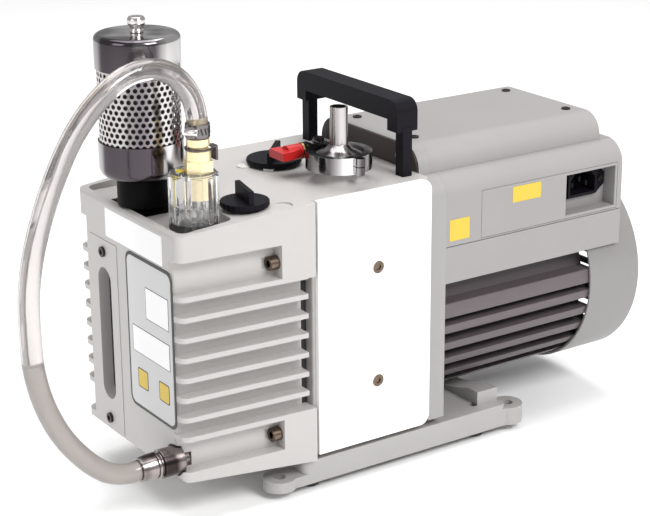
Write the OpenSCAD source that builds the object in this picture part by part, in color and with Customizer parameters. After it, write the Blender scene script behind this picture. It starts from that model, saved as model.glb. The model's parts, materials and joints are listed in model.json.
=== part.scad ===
// Bench-top two-stage rotary vane vacuum pump with a mist filter and an oil return hose.
// +X runs from the oil box to the motor fan, -Y is the side with the mains inlet, +Z is up.
// The origin is on the floor, under the middle of the pump without its hose.

/* [Overall] */
// Width over the two side panels and the fan cover
pump_w = 158; // [156:1:160]
// Height of the pump body's top above the floor
top_z = 217; // [216:0.5:218]
// Height of the shaft's axis above the floor
axis_z = 104; // [103:0.5:105]
// Length from the oil box's end face to the end of the fan cover
pump_l = 408; // [406:1:410]
// How far the drain coupling stands out of the end face
drain_l = 28; // [26:1:28]

/* [Base] */
// Height of the rubber feet
foot_h = 6; // [5:0.5:7]
// Radius of the four holes that fasten the base to a bench
bench_hole_r = 4.5; // [4:0.25:5]
// Distance between the bench holes along the pump
bench_x = 208; // [206:1:210]
// Distance between the bench holes across the pump
bench_y = 132; // [130:1:134]

/* [Oil box] */
// Length of the oil box
box_l = 106; // [104:1:108]
// How much each side of the box narrows towards its end face
box_draft = 7; // [6:0.5:8]
// How much the box's top and bottom close in towards its end face
box_rise = 8; // [7:0.5:9]
// Number of cooling ribs on each side
rib_count = 8; // [7:1:8]
// Spacing of the cooling ribs
rib_pitch = 14.4; // [14:0.1:14.6]

/* [Vane stages] */
// Radius of the stator bores
bore_r = 32; // [31:0.5:33]
// Radius of the rotor
rotor_r = 28; // [27.5:0.5:28]
// Offset between the rotor's axis and the bore's axis
offset_e = 3.7; // [3.5:0.1:3.7]

/* [Inlet] */
// Radius of the inlet flanges, the standard size for a 25 mm bore
flange_r = 20; // [20:0.5:20]
// Outer radius of the inlet tube
tube_r = 6.35; // [6:0.05:6.5]
// Bore radius of the inlet tube
tube_bore_r = 5; // [4.5:0.25:5]

/* [Mist filter] */
// Radius of the perforated screen
screen_r = 28.2; // [27.8:0.1:28.2]
// Height of the perforated screen
screen_h = 71; // [69:1:72]

/* [Motor] */
// Radius over the tips of the motor's cooling fins
fin_tip_r = 76.5; // [76:0.5:76.5]
// Outer radius of the fan cover
cover_r = 78.8; // [78.5:0.1:79]

/* [Oil return hose] */
// Outer diameter of the clear hose
hose_d = 14.4; // [14:0.2:15]

/* [Hidden] */
$fn = 64;

x_end = (drain_l - pump_l) / 2;
half_w = pump_w / 2;
base_top = 24;
body_x = x_end + 104;
panel_x = x_end + 106;
flange_x = x_end + 204;
motor_x = x_end + 218;
cover_x = x_end + 358;
fan_end_x = x_end + pump_l;
box_x2 = x_end + box_l - 2;
inlet_at = [x_end + 146, -46];
filter_at = [x_end + 19.5, 8];
bowl_at = [x_end + 26.5, -50];
filler_at = [x_end + 64, -53];
ballast_at = [x_end + 132, 17];
handle_x = x_end + 192;

// A block from one corner to the opposite corner
module block(low, high) {
    translate(low) cube(high - low);
}

// A block along Z with its four upright edges rounded
module rounded_block(low, high, r) {
    block([low[0] + r, low[1], low[2]], [high[0] - r, high[1], high[2]]);
    block([low[0], low[1] + r, low[2]], [high[0], high[1] - r, high[2]]);
    for (x = [low[0] + r, high[0] - r], y = [low[1] + r, high[1] - r])
        translate([x, y, low[2]]) cylinder(r = r, h = high[2] - low[2]);
}

// Turns what is drawn along Z to lie along +X, from a point
module along_x(at) {
    translate(at) rotate([0, 90, 0]) children();
}

module ring(outer, hole, h) {
    difference() {
        cylinder(r = outer, h = h);
        translate([0, 0, -1]) cylinder(r = hole, h = h + 2);
    }
}

// A socket-head screw whose head stands on z = 0 and whose shank goes down
module socket_screw(head_r, head_h, shank_r, shank_l) {
    difference() {
        union() {
            cylinder(r = head_r, h = head_h);
            translate([0, 0, -shank_l]) cylinder(r = shank_r, h = shank_l + 1);
        }
        translate([0, 0, head_h / 2]) cylinder(r = head_r * 0.55, h = head_h, $fn = 6);
    }
}

// ---- Base ----

foot_at = [for (x = [x_end + 108, x_end + 258], y = [-62, 62]) [x, y]];
bench_mid = x_end + 184;
bench_at = [for (x = [-1, 1], y = [-1, 1]) [bench_mid + x * bench_x / 2, y * bench_y / 2]];
base_bolt_at = [for (x = [x_end + 122, x_end + 186], y = [-42, 42]) [x, y]];

// Cast base: a plate with a shallow relief under it, four low ears and a cradle wall under the motor
module base_plate() {
    half = 75;
    ear_r = 9;
    web = 5;
    cradle_r = 150;
    left = x_end + 95;
    right = x_end + 281;
    color("gainsboro") difference() {
        union() {
            rounded_block([left, -half, foot_h], [right, half, base_top], 6);
            for (p = bench_at) {
                low = p[0] < bench_mid;
                top = low ? 14 : 20;
                toward = low ? [left + 8, p[1]] : [right - 8, p[1]];
                translate([p[0], p[1], foot_h]) cylinder(r = ear_r + 3, h = top - foot_h);
                block([min(p[0], toward[0]), p[1] - ear_r, foot_h],
                      [max(p[0], toward[0]), p[1] + ear_r, top]);
            }
            difference() {
                block([right - 22, -66, base_top - 1], [right - 3, 66, base_top + 11]);
                along_x([right - 24, 0, base_top + 1 + cradle_r]) cylinder(r = cradle_r, h = 30);
            }
        }
        difference() {
            block([left + web, -half + web, foot_h - 1], [right - web, half - web, foot_h + 3.5]);
            for (p = foot_at) translate([p[0], p[1], foot_h]) cylinder(r = 9, h = base_top);
        }
        for (p = bench_at) translate([p[0], p[1], 0]) cylinder(r = bench_hole_r, h = base_top + 1);
        for (p = base_bolt_at) translate([p[0], p[1], 0]) {
            cylinder(r = 4.3, h = base_top + 1);
            cylinder(r = 7.2, h = base_top - 5);
        }
        for (p = foot_at) translate([p[0], p[1], 0]) cylinder(r = 3.3, h = base_top + 1);
    }
}

module rubber_feet() {
    color("dimgray") for (p = foot_at) translate([p[0], p[1], 0]) {
        cylinder(r1 = 7, r2 = 8.5, h = foot_h);
        translate([0, 0, foot_h]) cylinder(r = 3.2, h = 10);
    }
}

module base_bolts() {
    color("silver") for (p = base_bolt_at)
        translate([p[0], p[1], base_top - 5]) rotate([180, 0, 0]) socket_screw(6.5, 7, 4, 16);
}

// ---- Pump body ----

panel_t = 4;
body_half = half_w - panel_t;
body_x2 = flange_x - 1;
panel_low = 29;
panel_screw_z = [74, 160];
panel_screw_x = x_end + 157;
box_bolt_at = [for (y = [-70, 70], z = [50, 177]) [y, z]];
leg_y = 60;
leg_x = 8;
leg_t = 9;
service_plug_at = [[x_end + 111, 24], [x_end + 120, 5]];
inlet_z = top_z + 15;

// Profile of the flared inlet boss and its flange, from the axis outward
module inlet_boss_profile() {
    neck = 13.4;
    difference() {
        translate([0, top_z - 1]) square([27, 11]);
        translate([neck + 13.6, top_z + 13.6]) circle(r = 13.6);
    }
    polygon([[0, top_z + 9], [neck, top_z + 9], [neck, inlet_z - 3.6], [flange_r, inlet_z - 1.8],
             [flange_r, inlet_z], [0, inlet_z]]);
}

module pump_body() {
    chamber_r = 12.5;
    color("whitesmoke") difference() {
        union() {
            rounded_block([body_x, -body_half, 30], [body_x2, body_half, top_z], 2);
            block([body_x + 4, -62, base_top], [body_x2 - 4, 62, 31]);
            translate([inlet_at[0], inlet_at[1], 0]) rotate_extrude() inlet_boss_profile();
        }
        translate([inlet_at[0], inlet_at[1], 0]) {
            translate([0, 0, 150]) cylinder(r = 9, h = 100);
            translate([0, 0, 196]) cylinder(r = chamber_r, h = 26);
        }
        along_x([body_x - 1, inlet_at[1] + 12, 158]) cylinder(r = 6, h = inlet_at[0] - body_x);
        along_x([body_x - 1, 0, axis_z]) cylinder(r = 15, h = 110);
        along_x([body_x + 40, 0, axis_z]) cylinder(r = 34, h = 110);
        for (y = [-1, 1]) block([handle_x - leg_x / 2 - 0.4, y * leg_y - leg_t / 2 - 0.4, 168],
                                [handle_x + leg_x / 2 + 0.4, y * leg_y + leg_t / 2 + 0.4, top_z + 1]);
        translate([ballast_at[0], ballast_at[1], top_z - 15]) cylinder(r = 6.06, h = 20);
        for (p = service_plug_at) translate([p[0], p[1], top_z - 8]) cylinder(r = 3.6, h = 10);
        for (y = [-1, 1], z = panel_screw_z)
            translate([panel_screw_x, y * (body_half + 1), z]) rotate([y * 90, 0, 0])
                cylinder(r = 2.7, h = 13);
        for (p = box_bolt_at) along_x([body_x - 1, p[0], p[1]]) cylinder(r = 3.2, h = 18);
        for (p = base_bolt_at) translate([p[0], p[1], base_top - 1]) cylinder(r = 4.3, h = 14);
    }
}

// Anti-suck-back valve: a plate on a stem that lifts to close the inlet
module inlet_valve() {
    color("steelblue") translate([inlet_at[0], inlet_at[1], 0]) {
        translate([0, 0, 197]) cylinder(r = 12.1, h = 3);
        translate([0, 0, 180]) cylinder(r = 3, h = 18);
    }
}

// Flat side panel with two rounded corners at the motor end, and holes for its screws
module side_panel(side) {
    r = 8;
    x2 = body_x2;
    y1 = min(side * half_w, side * body_half);
    y2 = y1 + panel_t;
    difference() {
        union() {
            block([panel_x, y1, panel_low + r], [x2, y2, top_z - r]);
            block([panel_x, y1, panel_low], [x2 - r, y2, top_z]);
            for (z = [panel_low + r, top_z - r])
                translate([x2 - r, side * half_w, z]) rotate([side * 90, 0, 0])
                    cylinder(r = r, h = panel_t);
        }
        for (z = panel_screw_z)
            translate([panel_screw_x, side * (half_w + 1), z]) rotate([side * 90, 0, 0]) {
                cylinder(r = 2.7, h = panel_t + 2);
                cylinder(r = 4.7, h = 3.4);
            }
    }
}

module side_panels() {
    color("white") for (side = [-1, 1]) side_panel(side);
}

module panel_screws() {
    color("dimgray") for (y = [-1, 1], z = panel_screw_z)
        translate([panel_screw_x, y * (half_w - 2.4), z]) rotate([-y * 90, 0, 0])
            socket_screw(4.5, 2, 2.5, 12);
}

// ---- Adaptor and motor flange ----

step_half = 62;
step_top = 235;
shoulder_r = 18;
step_r = 17;
wide_half = 77;
shoulder_z = 215;

// Stepped outline across the motor end, drawn with Y across and Z up, inset by t
module stepped_outline(low, t) {
    wide = wide_half - shoulder_r;
    narrow = step_half - step_r;
    translate([-wide_half + t, low]) square([2 * (wide_half - t), shoulder_z - shoulder_r - low]);
    translate([-wide, low]) square([2 * wide, shoulder_z - t - low]);
    translate([-step_half + t, low]) square([2 * (step_half - t), step_top - step_r - low]);
    translate([-narrow, low]) square([2 * narrow, step_top - t - low]);
    for (s = [-1, 1]) {
        translate([s * wide, shoulder_z - shoulder_r]) circle(r = shoulder_r - t);
        translate([s * narrow, step_top - step_r]) circle(r = step_r - t);
    }
}

// Stands an outline drawn with Y across and Z up on the X axis, from x1 to x2
module across(x1, x2) {
    translate([x1, 0, 0]) rotate([90, 0, 90]) linear_extrude(x2 - x1) children();
}

flange_screw_y = [-40, 40];
bearing_r = 17.5;
shaft_r = 9;

module adaptor_plate() {
    color("rosybrown") difference() {
        across(body_x2, flange_x) stepped_outline(30, 1);
        along_x([body_x2 - 1, 0, axis_z]) cylinder(r = 34, h = 10);
        for (y = flange_screw_y) along_x([body_x2 - 1, y, 225]) cylinder(r = 2.2, h = 10);
    }
}

// Cast flange between the pump body and the motor, held by two screws above the body
module motor_flange() {
    step_x = x_end + 213;
    color("lightgray") difference() {
        union() {
            across(flange_x, step_x) stepped_outline(30, 0);
            intersection() {
                across(step_x - 1, motor_x) stepped_outline(30, 0);
                block([step_x - 2, -half_w, 0], [motor_x + 1, half_w, shoulder_z]);
            }
            along_x([motor_x - 1, 0, axis_z]) cylinder(r = 55.9, h = 7);
        }
        along_x([flange_x - 1, 0, axis_z]) cylinder(r = bearing_r, h = 40);
        for (y = flange_screw_y) along_x([flange_x - 1, y, 225]) cylinder(r = 2.2, h = 8);
    }
    color("dimgray") for (y = flange_screw_y)
        translate([body_x2, y, 225]) rotate([0, -90, 0]) socket_screw(3.4, 1.6, 2, 9);
}

// ---- Oil box ----

rib_low = 66;
rim_low = rib_low + (rib_count - 1) * rib_pitch - 3;
rib_t = 3.6;
rib_depth = 8;
recess_x2 = x_end + 78;
gasket_x = x_end + 98;
gasket_half = 66;
floor_z = 25;
pocket_z = top_z - 11;
drain_at = [-59, 46];
glass_y = 34;
glass_z = [59, 159];
glass_screw_z = [44, 171];
glass_half = 20;
glass_plate_z = [36.5, 180];

// Plan of the tapering box: half width at the open end and corner radius at the end face
module tapered_plan(half, r) {
    front = half - box_draft;
    slope = box_draft / (box_x2 - x_end);
    q = sqrt(1 + slope * slope);
    k = r * q - slope * r;
    cx = x_end + r;
    tangent_x = cx - r * slope / q;
    tangent_y = front - k + r / q;
    polygon([[x_end, k - front], [tangent_x, -tangent_y], [box_x2, -half], [box_x2, half],
             [tangent_x, tangent_y], [x_end, front - k]]);
    for (s = [-1, 1]) translate([cx, s * (front - k)]) circle(r = r);
}

// Side view of the box: its top and bottom close in towards the end face, with round corners
module box_side_view() {
    r = 3;
    slope = box_rise / (box_x2 - x_end);
    q = sqrt(1 + slope * slope);
    k = r * q - slope * r;
    cx = x_end + r;
    low = floor_z + box_rise;
    high = top_z - box_rise;
    tangent_x = cx - r * slope / q;
    polygon([[x_end, low + k], [tangent_x, low + k - r / q], [box_x2, floor_z], [box_x2, top_z],
             [tangent_x, high - k + r / q], [x_end, high - k]]);
    for (z = [low + k, high - k]) translate([cx, z]) circle(r = r);
}

// The whole outer form of the box, from its plan and its side view
module box_envelope(half, r) {
    intersection() {
        linear_extrude(top_z + 10) tapered_plan(half, r);
        translate([0, half_w + 1, 0]) rotate([90, 0, 0])
            linear_extrude(2 * half_w + 2) box_side_view();
    }
}

// A slot with round ends that runs up Z and goes along +X
module upright_slot(x, y, z, r, depth) {
    block([x, y - r, z[0] + r], [x + depth, y + r, z[1] - r]);
    for (end = [z[0] + r, z[1] - r]) along_x([x, y, end]) cylinder(r = r, h = depth);
}

module oil_box() {
    wall_half = half_w - rib_depth - 2;
    x1 = x_end - 1;
    y = half_w + 1;
    color("whitesmoke") difference() {
        union() {
            intersection() {
                box_envelope(wall_half, 4);
                block([x1, -y, 0], [gasket_x, y, top_z + 1]);
            }
            intersection() {
                box_envelope(half_w, 7);
                union() {
                    for (i = [0 : rib_count - 1]) let (z = rib_low + i * rib_pitch)
                        block([x1, -y, z - rib_t], [gasket_x, y, z]);
                    block([x1, -y, rim_low + 27], [box_x2 + 1, y, top_z + 1]);
                    block([x1, -y, floor_z - 1], [box_x2 + 1, y, floor_z + 15]);
                    block([recess_x2, -y, rim_low], [box_x2 + 1, y, top_z + 1]);
                    block([recess_x2, -y, floor_z - 1], [box_x2 + 1, y, rib_low]);
                }
            }
        }
        block([x_end + 8, -57, 42], [gasket_x + 1, 57, pocket_z - 5]);
        block([gasket_x, -gasket_half, floor_z + 5], [box_x2 + 1, gasket_half, top_z - 5]);
        rounded_block([x_end + 5.5, -67.8, pocket_z], [x_end + 46.5, 67.8, top_z + 1], 6);
        upright_slot(x_end - 1, glass_y, glass_z, 9.5, 12);
        block([x_end - 1, glass_y - glass_half - 0.2, glass_plate_z[0] - 0.2],
              [x_end + 2, glass_y + glass_half + 0.2, glass_plate_z[1] + 0.2]);
        along_x([x_end - 1, drain_at[0], drain_at[1]]) cylinder(r = 6.2, h = 12);
        along_x([x_end - 1, drain_at[0], drain_at[1]]) cylinder(r = 11.4, h = 5);
        for (z = glass_screw_z) along_x([x_end - 1, glass_y, z]) cylinder(r = 2.2, h = 8);
        for (p = box_bolt_at) {
            along_x([recess_x2 - 10, p[0], p[1]]) cylinder(r = 5.3, h = 10);
            along_x([recess_x2 - 10, p[0], p[1]]) cylinder(r = 3.2, h = 40);
        }
        translate([filter_at[0], filter_at[1], pocket_z - 10]) cylinder(r = 9, h = 20);
        translate([bowl_at[0], bowl_at[1], pocket_z - 10]) cylinder(r = 4, h = 20);
        translate([filler_at[0], filler_at[1], pocket_z - 10]) cylinder(r = 10.06, h = 30);
        translate([filler_at[0], filler_at[1], top_z - 4.2]) cylinder(r = 14, h = 10);
        translate([x_end + 84, -68.5, top_z - 2.2]) cylinder(r = 7.5, h = 10);
    }
}

module oil_box_gasket() {
    color("dimgray") difference() {
        block([gasket_x, -gasket_half, floor_z + 5], [body_x, gasket_half, top_z - 5]);
        block([gasket_x - 1, -57, 42], [body_x + 1, 57, pocket_z - 5]);
    }
}

module oil_box_bolts() {
    color("darkgoldenrod") for (p = box_bolt_at)
        translate([recess_x2, p[0], p[1]]) rotate([0, -90, 0]) socket_screw(5, 7, 3, 38);
}

module sight_glass_frame() {
    color("whitesmoke") difference() {
        block([x_end - 0.4, glass_y - glass_half, glass_plate_z[0]],
              [x_end + 2, glass_y + glass_half, glass_plate_z[1]]);
        upright_slot(x_end - 1, glass_y, glass_z, 9.5, 5);
        for (z = glass_screw_z) along_x([x_end - 1, glass_y, z]) cylinder(r = 2.2, h = 8);
    }
}

module sight_glass() {
    color("lightyellow") upright_slot(x_end + 8, glass_y, [glass_z[0] - 4, glass_z[1] + 4], 13, 3);
}

module sight_glass_screws() {
    color("dimgray") for (z = glass_screw_z)
        translate([x_end - 0.4, glass_y, z]) rotate([0, -90, 0]) socket_screw(3.8, 2, 2, 7);
}

// Printed plates: two on the end face, two on the terminal box
module labels() {
    color("lightgray") {
        block([x_end - 0.6, -64.4, 68.5], [x_end, 0.6, 182.5]);
        block([x_end - 0.3, -52, 184], [x_end, 29, 204.8]);
        block([x_end + 279, -wide_half - 0.3, 185], [x_end + 306, -wide_half, 197]);
        block([x_end + 221, -wide_half - 0.3, 166], [x_end + 239, -wide_half, 182]);
    }
}

// ---- Oil drain and return hose ----

module drain_coupling() {
    color("dimgray") translate([x_end, drain_at[0], drain_at[1]]) rotate([0, -90, 0]) {
        translate([0, 0, -9]) cylinder(r = 6, h = 8);
        translate([0, 0, -4]) cylinder(r = 10.2, h = 16);
        translate([0, 0, 12]) cylinder(r = 8, h = 2);
        translate([0, 0, 14]) cylinder(r = 9.4, h = 2);
        translate([0, 0, 16]) cylinder(r = 8, h = 1);
        translate([0, 0, 17]) cylinder(r1 = 9.4, r2 = 8.4, h = drain_l - 17);
    }
}

port_at = bowl_at + [3, -2.4];
stick_at = bowl_at + [-7, 5];
bowl_top = 245;
collar_top = 268;
hose_y1 = drain_at[0];
hose_y2 = port_at[1];
// Points of the hose's middle line, as [x from the end face, share of the way across, z]
hose_points = [
    [-28, 0, 46], [-38, 0, 46], [-52, 0, 51], [-67, 0.02, 64], [-82, 0.05, 84], [-93, 0.1, 108],
    [-99, 0.16, 134], [-100, 0.23, 160], [-99, 0.3, 186], [-94, 0.37, 212], [-85, 0.45, 238],
    [-74, 0.53, 262], [-60, 0.61, 285], [-42, 0.7, 304], [-22, 0.79, 316], [-2, 0.88, 318],
    [14, 0.95, 311], [25, 1, 297], [29.2, 1, 282], [29.5, 1, 268]
];
hose_sides = 12;

// The unit direction of a list of points at point i
function heading(pts, i) =
    let (a = pts[max(i - 1, 0)], b = pts[min(i + 1, len(pts) - 1)]) (b - a) / norm(b - a);

// One ring of points round a point, square to a direction
function hose_ring(at, dir, r, n) =
    let (side = [0, 1, 0] - dir * dir[1], u = side / norm(side), v = cross(dir, u))
    [for (k = [0 : n - 1]) at + r * (cos(360 * k / n) * u + sin(360 * k / n) * v)];

// A closed tube of n sides swept along points, whose two ends are square to their own directions
module swept_tube(pts, r, n, first, last) {
    m = len(pts);
    dirs = [for (i = [0 : m - 1]) i == 0 ? first : i == m - 1 ? last : heading(pts, i)];
    rings = [for (i = [0 : m - 1]) each hose_ring(pts[i], dirs[i], r, n)];
    walls = [for (i = [0 : m - 2], k = [0 : n - 1])
        [i * n + k, (i + 1) * n + k, (i + 1) * n + (k + 1) % n, i * n + (k + 1) % n]];
    caps = [[for (k = [0 : n - 1]) k], [for (k = [n - 1 : -1 : 0]) (m - 1) * n + k]];
    polyhedron(points = rings, faces = concat(walls, caps));
}

module return_hose() {
    route = [for (p = hose_points) [x_end + p[0], hose_y1 + (hose_y2 - hose_y1) * p[1], p[2]]];
    color("lavender", 0.6) swept_tube(route, hose_d / 2, hose_sides, [-1, 0, 0], [0, 0, -1]);
}

// ---- Oil filler ----

filler_z = top_z - 4;

module filler_seal() {
    color("black") translate([filler_at[0], filler_at[1], filler_z + 0.3]) ring(12.6, 10.3, 2);
}

// A disc with an upright bar across it to turn it by
module barred_knob(r, disc_h, bar_h, bar_t, turn) {
    cylinder(r = r, h = disc_h);
    rotate([0, 0, turn]) block([-r + 1.5, -bar_t / 2, 0], [r - 1.5, bar_t / 2, disc_h + bar_h]);
}

module filler_plug() {
    color("dimgray") translate([filler_at[0], filler_at[1], filler_z + 2.6]) {
        barred_knob(16.6, 4, 9.6, 3.6, 77);
        translate([0, 0, -14]) cylinder(r = 10, h = 14.5);
    }
}

// ---- Oil separator ----

module separator_bowl() {
    ribs = 12;
    color("aliceblue", 0.4) difference() {
        translate([bowl_at[0], bowl_at[1], pocket_z]) {
            cylinder(r = 16.2, h = bowl_top - pocket_z - 1);
            cylinder(r = 15.2, h = bowl_top - pocket_z);
            for (i = [0 : ribs - 1]) rotate([0, 0, 360 * i / ribs + 15])
                translate([14.8, 0, 0]) cylinder(r = 2.6, h = bowl_top - pocket_z - 2);
            translate([0, 0, -5]) cylinder(r = 3.9, h = 6);
        }
        translate([bowl_at[0], bowl_at[1], pocket_z + 4]) cylinder(r = 11, h = 12);
        translate([bowl_at[0], bowl_at[1], pocket_z - 6]) cylinder(r = 2.5, h = 12);
        translate([port_at[0], port_at[1], pocket_z + 15]) cylinder(r = 7.5, h = 40);
        translate([stick_at[0], stick_at[1], pocket_z + 15]) cylinder(r = 1.7, h = 40);
        translate([stick_at[0], stick_at[1], bowl_top - 4]) cylinder(r = 3.2, h = 10);
    }
}

// Long slotted screw that hangs in the bowl and shows the level of the oil
module bowl_stick() {
    color("gold") translate([stick_at[0], stick_at[1], 0]) difference() {
        union() {
            translate([0, 0, pocket_z + 15.5]) cylinder(r = 1.5, h = bowl_top - pocket_z - 19);
            translate([0, 0, bowl_top - 4]) cylinder(r = 3, h = 4.6);
        }
        translate([-4, -0.5, bowl_top - 0.4]) cube([8, 1, 2]);
    }
}

// Thumb-latch quick coupling: threaded nipple, hexagon, latch groove and hose collar
module brass_coupling() {
    color("khaki") translate([port_at[0], port_at[1], 0]) {
        translate([0, 0, bowl_top - 18]) cylinder(r = 7.4, h = 19);
        translate([0, 0, bowl_top]) rotate([0, 0, 12]) cylinder(r = 10.2, h = 8, $fn = 6);
        translate([0, 0, bowl_top + 8]) cylinder(r = 8.5, h = 7);
        translate([0, 0, bowl_top + 14]) cylinder(r = 6.6, h = 5);
        translate([0, 0, bowl_top + 18]) cylinder(r = 7.8, h = collar_top - bowl_top - 18);
    }
}

latch_z = bowl_top + 15.4;

module coupling_latch() {
    color("slategray") translate([port_at[0], port_at[1], latch_z]) difference() {
        union() {
            translate([0.8, 0, 0]) cylinder(r = 9.8, h = 1.4);
            block([9, -3.4, 0], [13.4, 3.4, 1.4]);
            block([11.6, -3.4, -9], [13.4, 3.4, 1.4]);
        }
        translate([0.8, 0, -1]) cylinder(r = 8, h = 4);
    }
}

module hose_clamp() {
    r = hose_d / 2 + 0.2;
    color("silver") translate([port_at[0], port_at[1], collar_top + 1]) difference() {
        union() {
            cylinder(r = r + 0.9, h = 9);
            rotate([0, 0, 215]) block([0, -3, 0.5], [r + 3, 3, 8.5]);
        }
        translate([0, 0, -1]) cylinder(r = r, h = 11);
    }
}

// ---- Mist filter ----

cup_z = top_z + 14;
cup_r = 29.4;
cup_h = 25;
screen_z = cup_z + 7.2;
lid_z = screen_z + screen_h - 3;
lid_top = lid_z + 23;
rod_top = lid_top + 7.5;

// Threaded neck: a foot in the oil box's pocket and a wide collar under the filter
module filter_neck() {
    foot = 13;
    rim = pocket_z + 4.5;
    color("black") translate([filter_at[0], filter_at[1], 0]) difference() {
        union() {
            translate([0, 0, rim]) cylinder(r = 17.8, h = cup_z - rim);
            translate([0, 0, pocket_z]) cylinder(r = foot, h = 6);
            block([-foot, -19, pocket_z], [foot + 8, 26, pocket_z + 2]);
            translate([0, 0, pocket_z - 5]) cylinder(r = 8.9, h = 6);
        }
        translate([0, 0, pocket_z - 6]) cylinder(r = 6, h = 60);
    }
}

module filter_cup() {
    t = 1.2;
    bend = 7;
    color("silver") translate([filter_at[0], filter_at[1], cup_z]) difference() {
        rotate_extrude() {
            square([cup_r - bend, cup_h]);
            translate([0, bend]) square([cup_r, cup_h - bend]);
            translate([cup_r - bend, bend]) circle(r = bend);
        }
        translate([0, 0, t]) cylinder(r = cup_r - bend, h = cup_h);
        translate([0, 0, bend]) cylinder(r = cup_r - t, h = cup_h);
        translate([0, 0, -1]) cylinder(r = 6, h = cup_h);
    }
}

module filter_screen() {
    rows = 12;
    around = 22;
    color("silver") translate([filter_at[0], filter_at[1], 0]) difference() {
        translate([0, 0, screen_z]) ring(screen_r, screen_r - 0.9, screen_h);
        for (row = [0 : 1]) for (i = [0 : around / 2 - 1])
            translate([0, 0, cup_z + 33 + row * 18]) rotate([0, 90, 360 * i / around * 2 + row * 8])
                translate([0, 0, screen_r - 4]) cylinder(r = 1.3, h = 8);
    }
}

module filter_element() {
    color("ivory") translate([filter_at[0], filter_at[1], cup_z + 1.3]) ring(22.2, 14, screen_h - 4);
}

module filter_rod() {
    color("silver") translate([filter_at[0], filter_at[1], 0]) {
        translate([0, 0, cup_z - 4]) cylinder(r = 3, h = rod_top - cup_z + 4);
        for (turn = [0, 90]) rotate([0, 0, turn])
            block([-5.9, -1, cup_z - 4], [5.9, 1, cup_z - 1]);
    }
}

module filter_lid() {
    t = 1.2;
    bend = 4;
    r = cup_r;
    h = lid_top - lid_z;
    color("silver") translate([filter_at[0], filter_at[1], lid_z]) difference() {
        rotate_extrude() {
            square([r, h - bend]);
            square([r - bend, h]);
            translate([r - bend, h - bend]) circle(r = bend);
        }
        translate([0, 0, -1]) cylinder(r = screen_r + 0.4, h = h - bend + 1);
        translate([0, 0, -1]) cylinder(r = r - bend, h = h - t + 1);
        cylinder(r = 3.3, h = h + 1);
    }
}

module filter_knob() {
    color("silver") translate([filter_at[0], filter_at[1], lid_top + 0.3]) difference() {
        rotate_extrude() polygon([[0, 0], [4.9, 0], [4.9, 1.2], [4.2, 2.4], [6.2, 6], [6.2, 8.6],
                                  [5.2, 10.4], [0, 11]]);
        translate([0, 0, -1]) cylinder(r = 3.05, h = 9.2);
    }
}

// ---- Body top ----

module ballast_knob() {
    color("dimgray") translate([ballast_at[0], ballast_at[1], top_z]) {
        translate([0, 0, 2]) barred_knob(19.8, 3.4, 7.6, 4, 48);
        translate([0, 0, 0.4]) cylinder(r = 9, h = 3);
        translate([0, 0, -14]) cylinder(r = 6, h = 15);
    }
}

// A flat lubrication plug and a raised jet plug in the body's top
module service_plugs() {
    color("lightgray") {
        translate([service_plug_at[0][0], service_plug_at[0][1], top_z]) {
            cylinder(r = 5.4, h = 0.8);
            translate([0, 0, -7]) cylinder(r = 3.5, h = 8);
        }
        translate([service_plug_at[1][0], service_plug_at[1][1], top_z]) {
            cylinder(r = 4.2, h = 1.6);
            translate([0, 0, -7]) cylinder(r = 3.5, h = 8);
        }
    }
}

tube_flange_z = inlet_z + 3;
tube_top = 271;

module inlet_tube() {
    color("silver") translate([inlet_at[0], inlet_at[1], tube_flange_z]) difference() {
        rotate_extrude() {
            polygon([[0, 0], [flange_r, 0], [flange_r, 1.8], [tube_r + 4, 5.2], [tube_r, 9],
                     [0, 9]]);
            square([tube_r, tube_top - tube_flange_z]);
        }
        translate([0, 0, -1]) cylinder(r = tube_bore_r, h = 60);
    }
}

module centring_ring() {
    color("black") translate([inlet_at[0], inlet_at[1], inlet_z]) ring(19, 9.5, 3);
}

hinge_y = inlet_at[1] - 25.4;
pivot = [inlet_at[0] + 4.5, inlet_at[1] + 32];
bolt_z = inlet_z + 1.5;
lug_x = inlet_at[0] - 9;

// Two half rings with a V groove, joined by a hinge pin, with lugs for the swing bolt
module clamp_ring() {
    half_h = 6;
    outer = 23.5;
    color("silver") difference() {
        union() {
            translate([inlet_at[0], inlet_at[1], bolt_z]) difference() {
                rotate_extrude() difference() {
                    translate([17.6, -half_h]) square([outer - 17.6, 2 * half_h]);
                    polygon([[17, -4.2], [20.4, -3.7], [20.4, 3.7], [17, 4.2]]);
                }
                block([-0.5, -30, -10], [0.5, 30, 10]);
            }
            difference() {
                block([lug_x, inlet_at[1] + 20, bolt_z - 5.5], [lug_x + 4.4, pivot[1] + 2.2, bolt_z + 5.5]);
                translate([inlet_at[0], inlet_at[1], bolt_z - 10]) cylinder(r = 21, h = 20);
                block([lug_x - 1, pivot[1] - 3.4, bolt_z - 3.3], [lug_x + 6, pivot[1] + 9, bolt_z + 3.3]);
            }
            difference() {
                block([pivot[0] - 3, inlet_at[1] + 20, bolt_z - 5.5],
                      [pivot[0] + 3, pivot[1] + 4, bolt_z + 5.5]);
                translate([inlet_at[0], inlet_at[1], bolt_z - 10]) cylinder(r = 21, h = 20);
                block([pivot[0] - 5, pivot[1] - 5, bolt_z - 3.3], [pivot[0] + 5, pivot[1] + 9, bolt_z + 3.3]);
            }
            translate([inlet_at[0], hinge_y, bolt_z - half_h]) cylinder(r = 3.6, h = 5.7);
            translate([inlet_at[0], hinge_y, bolt_z + 0.3]) cylinder(r = 3.6, h = 5.7);
        }
        translate([pivot[0], pivot[1], bolt_z - 10]) cylinder(r = 1.6, h = 20);
    }
}

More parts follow.
